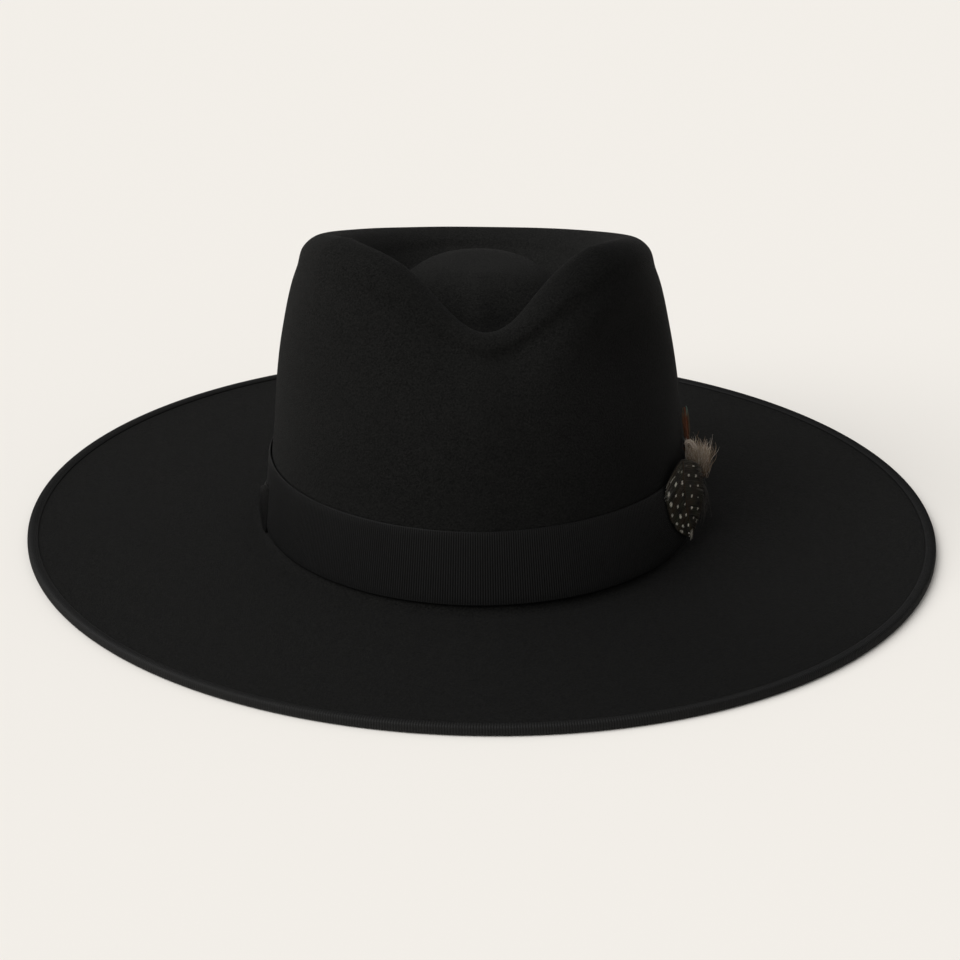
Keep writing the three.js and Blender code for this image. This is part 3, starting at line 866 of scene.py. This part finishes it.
def guinea_feather():
    """A plain dark layer of barbs, a spotted one over it with some frayed ends, a shaft and root down."""
    rng = np.random.default_rng(11)
    barbs = Barbs()
    steps = np.linspace(0, 1, 27)
    for side in (-1, 1):
        for layer, count in ((0, 46), (1, 150)):
            for end in np.linspace(0.0, 1.0, count):
                drop = 0.2 * (0.3 + 0.7 * np.interp(end, VANE_HEIGHT, VANE_WIDTH))
                finish = end + (rng.normal(0, 0.006) if layer else 0)
                reach = guinea_half(finish) * (rng.uniform(0.97, 1.05) if layer else 0.93)
                frayed = layer and rng.random() < 0.06 + 0.5 * (end > 0.72)
                if frayed:
                    reach *= rng.uniform(0.98, 1.08)
                start = finish + drop
                h = start + (finish - start) * steps ** 1.5
                along = guinea_middle(start) * (1 - steps) + (guinea_middle(finish) + side * reach) * steps
                if layer == 0:
                    barbs.add(guinea_place(along, h, 0.15), UPWARDS, 1.1, 0.12, GUINEA_DARK)
                    continue
                above = 0.62 + rng.normal(0, 0.05) + 0.25 * np.sin(math.pi * steps) * 0.6
                path = guinea_place(along, h, above)
                colours = guinea_colours(along, h, rng, rng.uniform(0.3, 1.0)) * rng.uniform(0.8, 1.2)
                ends = 0.6 if frayed else 0.86
                pale = ramp(steps, ends, 1 - ends) * rng.uniform(0, 0.8 if frayed else 0.5)
                colours = mix(colours, FRAYED_END if frayed else BARB_END, pale)
                width = 0.36 * (1 - 0.55 * steps ** 3)
                barbs.add(path, UPWARDS, width, 0.2, np.clip(colours, 0, 1))
    shaft_h = np.linspace(1.12, 0.03, 30)
    shaft = guinea_place(guinea_middle(shaft_h), shaft_h, 0.8)
    barbs.add(shaft, BACKWARDS, np.linspace(0.7, 0.2, 30), 0.4, GUINEA_SHAFT)
    t = np.linspace(0, 1, 6)
    for _ in range(26):
        h = 0.09 - t * rng.uniform(0.06, 0.15)
        along = guinea_middle(0.05) + rng.normal(0.6, 0.5) + t * rng.normal(-1.1, 0.4)
        path = guinea_place(along, h, 0.75 + rng.uniform(-0.1, 0.25))
        shade = mix(BARB_END, GUINEA_DOWN, np.clip(t * 1.5, 0, 1))
        barbs.add(path, TURNED_OUT, 0.3 * (1 - 0.8 * t), 0.16, shade)
    barbs.piece("guinea_feather_barbs", guinea_vane, "guinea_feather", "guinea_feather")


RUST_CENTRE = -15.5
RUST_WIDTH = 4.6
RUST_FOOT = 31
RUST_HEIGHT = 25.8
RUST_LIFT = 2.6
RUST_TAPER_HEIGHT = (0, 0.28, 0.55, 0.78, 0.92, 1)
RUST_TAPER = (0.3, 0.6, 1, 0.95, 0.75, 0.3)
RUST_RED = (0.072, 0.017, 0.0005)
RUST_DEEP = (0.032, 0.007, 0.0005)
RUST_EDGE = (0.055, 0.045, 0.03)
RUST_SHAFT = (0.16, 0.05, 0.02)
RUST_DOWN = (0.030, 0.016, 0.009)
RUST_DOWN_PALE = (0.09, 0.045, 0.022)
TIP_BLUE_GREEN = (0.17, 0.27, 0.22)
TIP_BROWN = (0.05, 0.03, 0.015)


def rust_place(u, v, above):
    """u from the front edge to the rear one, v from the root to the tip."""
    on_felt = ramp(RUST_FOOT + v * RUST_HEIGHT - BAND_FOOT - BAND_HEIGHT, 1, 6)
    stand = ON_BAND * (1 - on_felt) + 0.45 * on_felt
    width = np.interp(v, RUST_TAPER_HEIGHT, RUST_TAPER) * RUST_WIDTH
    turned = 0.5 + (u - 0.5) * width / RUST_WIDTH
    lift = RUST_LIFT * turned * np.sin(math.pi / 2 * np.clip(v, 0, 1))
    out = stand + lift + above + 1.3 * np.clip(0.9 - v, 0, 1)
    return side_point(1, RUST_CENTRE + (u - 0.5) * width, RUST_FOOT + v * RUST_HEIGHT, out)


def rust_feather():
    """Rust barbs with a dull edge and a blue-green tip, a shaft, and loose down at the root."""
    rng = np.random.default_rng(23)
    barbs = Barbs()
    steps = np.linspace(0, 1, 12)
    for side in (-1, 1):
        for end in np.linspace(0.2, 0.985, 110):
            finish = end + rng.normal(0, 0.005)
            start = finish - 0.17
            v = start + (finish - start) * steps ** 1.2
            u = 0.5 + side * 0.5 * steps * rng.uniform(0.93, 1.1)
            path = rust_place(u, v, 0.5 + rng.normal(0, 0.06))
            at_tip = np.clip((v - 0.8) * 6, 0, 1)
            core = mix(RUST_RED, RUST_DEEP, np.clip(1.15 - v * 1.2, 0, 1))
            core = mix(core, TIP_BLUE_GREEN, at_tip * (0.3 + 0.7 * (u > 0.5)))
            core = mix(core, TIP_BROWN, at_tip * (u < 0.45) * 0.8)
            edge_from, edge_share = (0.42, 0.9) if side > 0 else (0.7, 0.45)
            edge = np.clip((np.abs(u - 0.5) * 2 - edge_from) * 3, 0, 1) * edge_share
            edge = edge * (1 - 0.75 * np.clip((v - 0.78) * 6, 0, 1))
            colours = mix(core, RUST_EDGE, edge) * rng.uniform(0.85, 1.15)
            barbs.add(path, UPWARDS, 0.34 * (1 - 0.6 * steps ** 2), 0.18, np.clip(colours, 0, 1))
    v = np.linspace(-0.05, 0.97, 24)
    barbs.add(rust_place(0.5, v, 0.55), BACKWARDS, np.linspace(0.6, 0.15, 24), 0.4, RUST_SHAFT)
    t = np.linspace(0, 1, 6)
    for _ in range(90):
        v = rng.uniform(-0.1, 0.1) + t * rng.uniform(0.12, 0.34)
        u = 0.5 + rng.normal(0, 0.5) + t * rng.normal(0.2, 0.9)
        shade = mix(RUST_DOWN, RUST_DOWN_PALE, rng.uniform(0, 1))
        path = rust_place(u, v, 0.3 + rng.uniform(0, 0.9))
        barbs.add(path, BACKWARDS, 0.24 * (1 - 0.8 * t), 0.18, shade)
    barbs.piece("rust_feather_barbs", rust_vane, "rust_feather", "rust_feather")


TUFT_CENTRE = -19
TUFT_FOOT = 28
TUFT_LENGTH = 18
TUFT_CLEAR = 2.0
TAUPE = (0.33, 0.25, 0.175)
TAUPE_DEEP = (0.16, 0.11, 0.07)
TAUPE_PALE = (0.74, 0.66, 0.57)


def clear_of_felt(path, margin):
    """Keeps points outside the crown's wall on the wearer's left."""
    wall = side_point(1, path[:, 1], np.clip(path[:, 2], BAND_FOOT, 90), margin)
    path[:, 0] = np.maximum(path[:, 0], wall[:, 0])
    return path


def down_tuft():
    """A soft clump of wavy down, pale strands that stand out of its top, and a lock curled over it."""
    rng = np.random.default_rng(5)
    barbs = Barbs()
    root = side_point(1, TUFT_CENTRE, TUFT_FOOT - 0.6, ON_BAND + TUFT_CLEAR)
    t = np.linspace(0, 1, 9)
    for index in range(980):
        sway = rng.uniform(-1, 1)
        depth = rng.uniform(-1, 1)
        out = 2.4 + 2.8 * sway + rng.normal(0, 0.6)
        start = root + np.array([out, depth * 2.2, rng.uniform(0.8, 7) - 0.9 * sway])
        length = TUFT_LENGTH * rng.uniform(0.38, 0.64) * (1 - 0.12 * sway ** 2)
        tip = start + length * np.array([-0.15 + 0.23 * sway + rng.normal(0, 0.15), 0.4 * depth, 0.92])
        bend = np.array([rng.normal(0, 1.1), rng.normal(0, 1), -0.5])
        curl = rng.uniform(0.15, 0.5)
        path = strand(start, tip, t, bend, np.sin(math.pi * t) * t)
        path += curl * (t * np.stack([np.sin(t * 7 + index), np.cos(t * 6 + index * 2), 0 * t])).T
        path = clear_of_felt(path, TUFT_CLEAR)
        low = ramp(path[:, 2] - TUFT_FOOT, 1, 9)
        shade = mix(TAUPE_DEEP, TAUPE, np.clip(low + rng.normal(0, 0.18), 0, 1))
        shade = mix(shade, TAUPE_PALE, np.clip(rng.uniform(-0.7, 0.75) + 0.4 * (low - 0.5), 0, 1))
        width = rng.uniform(0.2, 0.38) * (1 - 0.88 * t ** 1.4)
        barbs.add(path, STRAND_ACROSS, width, width * 0.6, shade)
    for index in range(9):
        sway = -0.9 + 1.8 * index / 8
        lean = np.array([0.24 * sway - 0.08 + rng.normal(0, 0.08), rng.uniform(-0.4, 0.1), 0.92])
        start = root + np.array([2.4 + 2.7 * sway, 0, 3])
        tip = start + lean * TUFT_LENGTH * rng.uniform(0.78, 0.92)
        path = strand(start, tip, t, np.array([0.7 * sway, 0, 0]), np.sin(math.pi * t))
        taper = 1 - 0.9 * t
        barbs.add(clear_of_felt(path, TUFT_CLEAR), STRAND_ACROSS, 0.42 * taper, 0.26 * taper, TAUPE_PALE)
    turn = np.linspace(0, 1, 12)
    for _ in range(26):
        start = root + np.array([-3.6, -1.5, 14.8]) + rng.normal(0, 0.35, 3)
        sweep = rng.uniform(3.2, 4.8)
        rise = 1.5 * np.sin(math.pi * turn ** 0.8) - 2.4 * turn ** 2
        path = start + np.stack([sweep * turn, -0.6 * turn, rise], 1)
        shade = mix(TAUPE_PALE, TAUPE, rng.uniform(0, 0.7))
        barbs.add(clear_of_felt(path, 1.2), (0.3, -0.8, 0.5), 0.34 * (1 - 0.7 * turn), 0.2, shade)
    barbs.piece("down_tuft_strands", down, "down", "down_tuft")


PLUME_CENTRE = -20
PLUME_TOP = 22
PLUME_PROUD = 3.6
PLUME_DARK = (0.03, 0.028, 0.026)
PLUME_PALE = (0.12, 0.113, 0.105)


def grey_plume():
    """Loose grey down that hangs behind the spotted feather and stops short of the brim."""
    rng = np.random.default_rng(31)
    barbs = Barbs()
    root = side_point(1, PLUME_CENTRE, PLUME_TOP, ON_BAND + PLUME_PROUD)
    t = np.linspace(0, 1, 9)
    for _ in range(300):
        start = root + np.array([rng.normal(0.4, 0.9), rng.normal(0, 1.4), rng.uniform(0.5, 5)])
        length = rng.uniform(7, 16)
        sway = rng.normal(0, 0.11)
        tip = start + length * np.array([sway, rng.normal(0, 0.14), -0.97])
        bow = np.array([rng.uniform(0.4, 1.7), 0, 0])
        path = clear_of_felt(strand(start, tip, t, bow, np.sin(math.pi * t)), ON_BAND + GAP)
        path[:, 2] = np.maximum(path[:, 2], BINDING_TOP + 1)
        shade = mix(PLUME_DARK, PLUME_PALE, rng.uniform(0, 1)) * (1 - 0.3 * t)[:, None]
        barbs.add(path, STRAND_ACROSS, 0.22 * (1 - 0.8 * t), 0.14, shade)
    barbs.piece("grey_plume_strands", plume, "plume", "grey_plume")


guinea_vane = attribute_material("guinea_vane", 0.55)
rust_vane = attribute_material("rust_vane", 0.6)
down = attribute_material("taupe_down", 0.85, sheen=0.05)
plume = attribute_material("grey_down", 0.9)

felt_body()
hat_band()
brim_binding()
bow_loop("bow_loop_front_ribbed", -1, "bow_loop_front")
bow_loop("bow_loop_rear_ribbed", 1, "bow_loop_rear")
bow_knot()
guinea_feather()
rust_feather()
down_tuft()
grey_plume()


# Floor, light and camera

FLOOR_COLOUR = (0.88, 0.856, 0.818)
SKY_COLOUR = (1.0, 0.985, 0.965)
SKY_STRENGTH = 0.40
KEY_COLOUR = (1, 0.995, 0.985)


def direction_to(azimuth, elevation):
    """From the hat towards a place at an azimuth from its front and an elevation, in degrees."""
    a, e = math.radians(azimuth), math.radians(elevation)
    return Vector((math.sin(a) * math.cos(e), -math.cos(a) * math.cos(e), math.sin(e)))


def floor():
    deselect()
    bpy.ops.mesh.primitive_plane_add(size=24)
    ground = bpy.context.active_object
    ground.name = "floor"
    material, shader = new_material("pale_floor", FLOOR_COLOUR, 1.0)
    shader.inputs["Specular IOR Level"].default_value = 0
    ground.data.materials.append(material)


def sun(name, strength, azimuth, elevation, spread, color):
    light = bpy.data.lights.new(name, "SUN")
    light.energy = strength
    light.angle = math.radians(spread)
    light.color = color
    thing = bpy.data.objects.new(name, light)
    bpy.context.collection.objects.link(thing)
    thing.rotation_euler = direction_to(azimuth, elevation).to_track_quat("Z", "Y").to_euler()


def world():
    scene = bpy.context.scene
    scene.world = bpy.data.worlds.new("studio")
    scene.world.use_nodes = True
    sky = scene.world.node_tree.nodes["Background"]
    sky.inputs["Color"].default_value = (*SKY_COLOUR, 1)
    sky.inputs["Strength"].default_value = SKY_STRENGTH
    scene.view_settings.view_transform = "Standard"


CAMERA_TURN = -2.0
CAMERA_ELEVATION = 20.86
CAMERA_DISTANCE = 1.4
CAMERA_RAISE = 0.0187
CAMERA_LENS = 127.76


def camera():
    turn = math.radians(CAMERA_TURN)
    back = direction_to(CAMERA_TURN, CAMERA_ELEVATION)
    right = Vector((math.cos(turn), math.sin(turn), 0))
    above = back.cross(right)
    data = bpy.data.cameras.new("photo_camera")
    data.lens = CAMERA_LENS
    data.clip_end = 50
    thing = bpy.data.objects.new("photo_camera", data)
    bpy.context.collection.objects.link(thing)
    spot = back * CAMERA_DISTANCE + above * CAMERA_RAISE
    basis = Matrix((right, above, back)).transposed().to_4x4()
    thing.matrix_world = Matrix.Translation(spot) @ basis
    bpy.context.scene.camera = thing


floor()
world()
sun("key_from_left", strength=2.6, azimuth=-65, elevation=48, spread=62, color=KEY_COLOUR)
camera()
